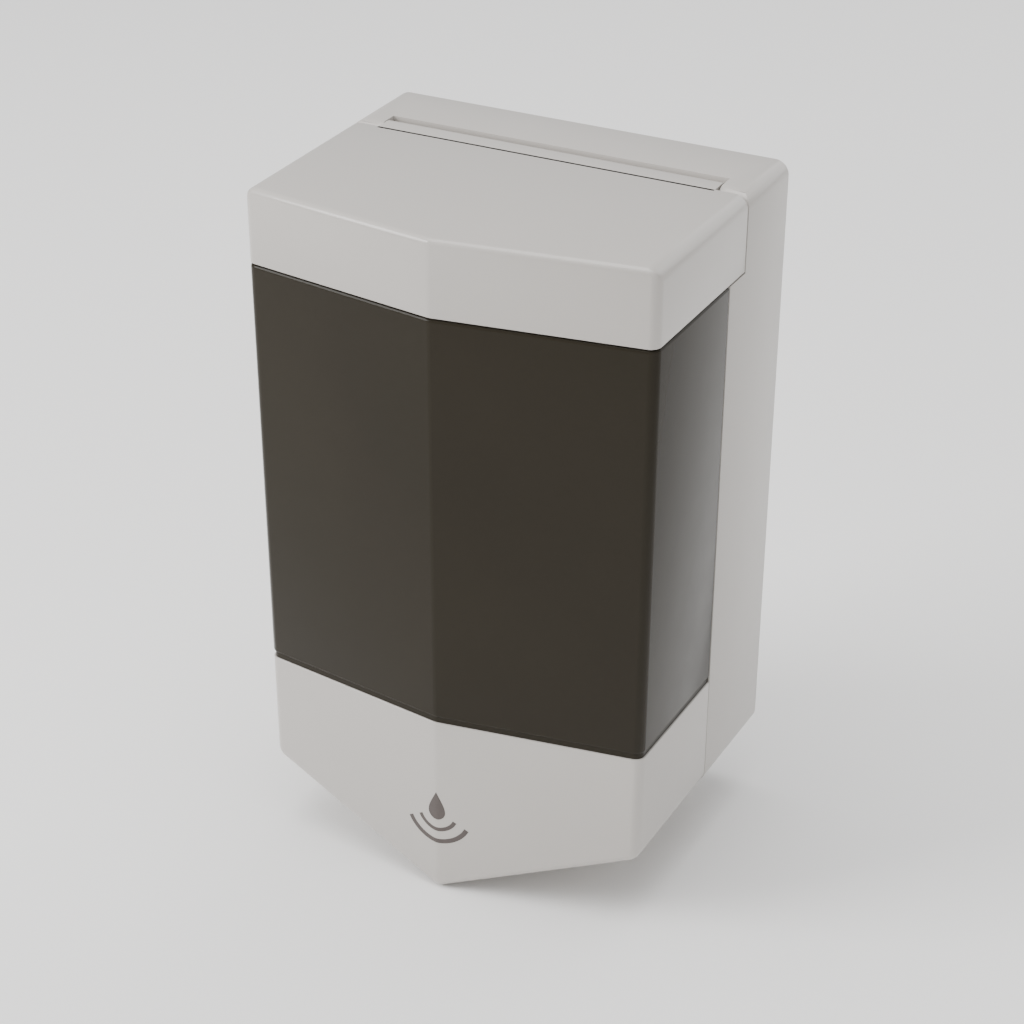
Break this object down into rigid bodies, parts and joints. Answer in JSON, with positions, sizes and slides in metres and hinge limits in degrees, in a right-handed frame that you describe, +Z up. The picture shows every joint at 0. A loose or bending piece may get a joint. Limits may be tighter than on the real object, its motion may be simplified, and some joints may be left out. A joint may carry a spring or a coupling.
{
  "type": "wall mounted soap dispenser",
  "caption": "Automatic wall soap dispenser: white case ending in a centred point, dark wrap-round window, flip-up lid, refillable tank, geared tube pump, battery bay, lift-off wall plate.",
  "frame": {"origin": "centre of the wall bracket's back face, which is also the centre of its four screw holes", "axes": "+Z up, +Y into the wall, the front faces -Y, +X to the right as seen from the front"},
  "size_m": [0.12, 0.092, 0.1999],
  "materials": {
    "white_case": "satin gloss moulded",
    "smoked_window": "polished smoked translucent",
    "bracket_plastic": "fine texture",
    "inner_plastic": "fine texture",
    "tank_plastic": "frosted translucent",
    "silicone_dark": "soft matte",
    "silicone_clear": "translucent",
    "nozzle_plastic": "smooth",
    "steel": "bright",
    "spring_steel": "nickel plated",
    "lens_dark": "infrared filter, polished",
    "diode": "clear dark resin",
    "led_resin": "clear resin",
    "board_green": "solder mask",
    "chip_black": "moulded",
    "switch_black": "moulded",
    "cell_jacket": "plain sleeve, no markings",
    "lead_red": "PVC sleeve",
    "lead_blue": "PVC sleeve",
    "gear_acetal": "acetal",
    "brass": "turned",
    "print_grey": "pad-printed ink",
    "rotor_orange": "glass-filled"
  },
  "bodies": {
    "bracket": {"wall_bracket": "bracket_plastic"},
    "dispenser": {"rear_housing": "white_case", "chin_cover": "white_case", "window_panel": "smoked_window", "chassis": "inner_plastic", "housing_screws": "steel", "lid_hinge_pin": "steel", "soap_tank": "tank_plastic", "outlet_grommet": "silicone_dark", "outlet_strainer": "nozzle_plastic", "pump_tube": "silicone_clear", "nozzle": "nozzle_plastic", "nozzle_valve": "silicone_clear", "sensor_lens": "lens_dark", "sensor_pair": "diode", "status_led": "led_resin", "sensor_board": "board_green", "battery_box": "inner_plastic", "battery_cells": "cell_jacket", "contact_springs": "spring_steel", "contact_plates": "spring_steel", "circuit_board": "board_green", "board_chips": "chip_black", "switch_body": "switch_black", "battery_leads": "lead_red", "motor_leads": "lead_blue", "gear_plate": "inner_plastic", "pump_body": "inner_plastic", "pump_cover": "inner_plastic", "pump_screws": "steel", "idler_axle": "steel", "gear_motor": "steel"},
    "lid": {"top_lid": "white_case", "lid_seal": "silicone_dark"},
    "door": {"battery_door": "white_case"},
    "slider": {"switch_slider": "switch_black"},
    "rotor": {"pump_rotor": "rotor_orange", "rotor_gear": "gear_acetal"},
    "roller_a": {"roller_1": "gear_acetal"},
    "roller_b": {"roller_2": "gear_acetal"},
    "roller_c": {"roller_3": "gear_acetal"},
    "compound": {"compound_gear": "gear_acetal"},
    "motor_drive": {"motor_shaft": "steel", "motor_pinion": "brass"}
  },
  "joints": [
    {"name": "lift_off", "type": "slide", "parent": "bracket", "child": "dispenser", "axis": [0, 0, 1], "range_m": [0, 0.012]},
    {"name": "lid_hinge", "type": "hinge", "parent": "dispenser", "child": "lid", "pos_m": [0, -0.024, 0.041], "axis": [-1, 0, 0], "range_deg": [0, 90]},
    {"name": "battery_door_hinge", "type": "hinge", "parent": "dispenser", "child": "door", "pos_m": [0, -0.007, -0.094], "axis": [-1, 0, 0], "range_deg": [0, 90]},
    {"name": "power_slide", "type": "slide", "parent": "dispenser", "child": "slider", "axis": [1, 0, 0], "range_m": [0, 0.003]},
    {"name": "rotor_spin", "type": "hinge", "parent": "dispenser", "child": "rotor", "pos_m": [-0.014, -0.0668, -0.119], "axis": [0, -1, 0], "continuous": true},
    {"name": "compound_spin", "type": "hinge", "parent": "dispenser", "child": "compound", "pos_m": [0.0028, -0.0668, -0.119], "axis": [0, -1, 0], "continuous": true},
    {"name": "motor_spin", "type": "hinge", "parent": "dispenser", "child": "motor_drive", "pos_m": [0.0196, -0.0668, -0.119], "axis": [0, -1, 0], "continuous": true},
    {"name": "roller_a_spin", "type": "hinge", "parent": "rotor", "child": "roller_a", "pos_m": [-0.0065, -0.0668, -0.119], "axis": [0, -1, 0], "continuous": true},
    {"name": "roller_b_spin", "type": "hinge", "parent": "rotor", "child": "roller_b", "pos_m": [-0.01775, -0.0668, -0.1125], "axis": [0, -1, 0], "continuous": true},
    {"name": "roller_c_spin", "type": "hinge", "parent": "rotor", "child": "roller_c", "pos_m": [-0.01775, -0.0668, -0.12549], "axis": [0, -1, 0], "continuous": true}
  ],
  "couplings": [
    {"joint": "compound_spin", "follows": "rotor_spin", "ratio": -3},
    {"joint": "motor_spin", "follows": "rotor_spin", "ratio": 9},
    {"joint": "roller_a_spin", "follows": "rotor_spin", "ratio": -3.5},
    {"joint": "roller_b_spin", "follows": "rotor_spin", "ratio": -3.5},
    {"joint": "roller_c_spin", "follows": "rotor_spin", "ratio": -3.5}
  ]
}
